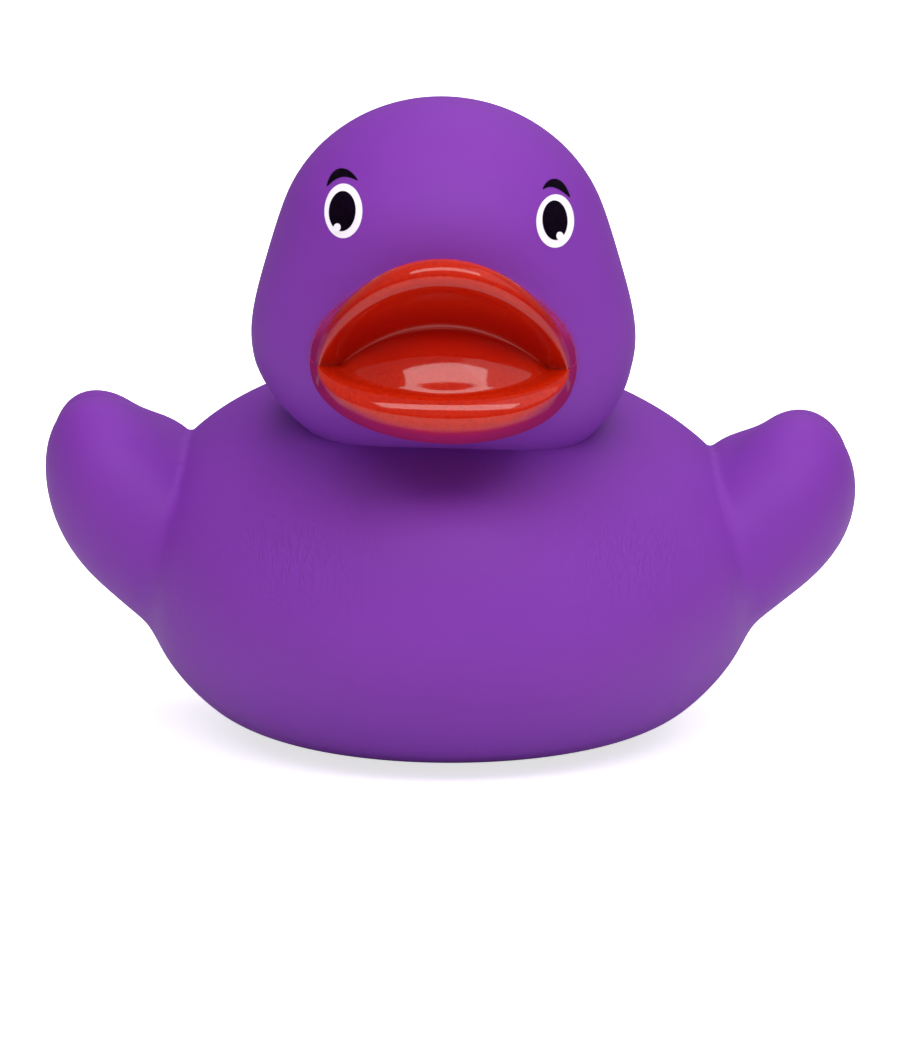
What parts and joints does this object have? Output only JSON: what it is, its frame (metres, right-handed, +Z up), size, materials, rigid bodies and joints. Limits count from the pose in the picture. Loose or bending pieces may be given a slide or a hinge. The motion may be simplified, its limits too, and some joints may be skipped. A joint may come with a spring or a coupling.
{
  "type": "rubber duck",
  "caption": "Hollow moulded vinyl bath duck with raised wings, an open glossy beak and a flat base closed by a squeaker plug.",
  "frame": {"origin": "middle of the whole part's box, on the plane of the flat base", "axes": "-Y is where the beak points, +X is to the right when the beak is looked at, +Z is up"},
  "size_m": [0.0878, 0.0858, 0.0702],
  "materials": {
    "soft_vinyl": "satin moulded skin, with the beak in glossy red paint",
    "squeaker_plastic": "plain moulded, off-white"
  },
  "bodies": {
    "root": {"duck_shell": "soft_vinyl", "squeaker": "squeaker_plastic"}
  },
  "joints": []
}
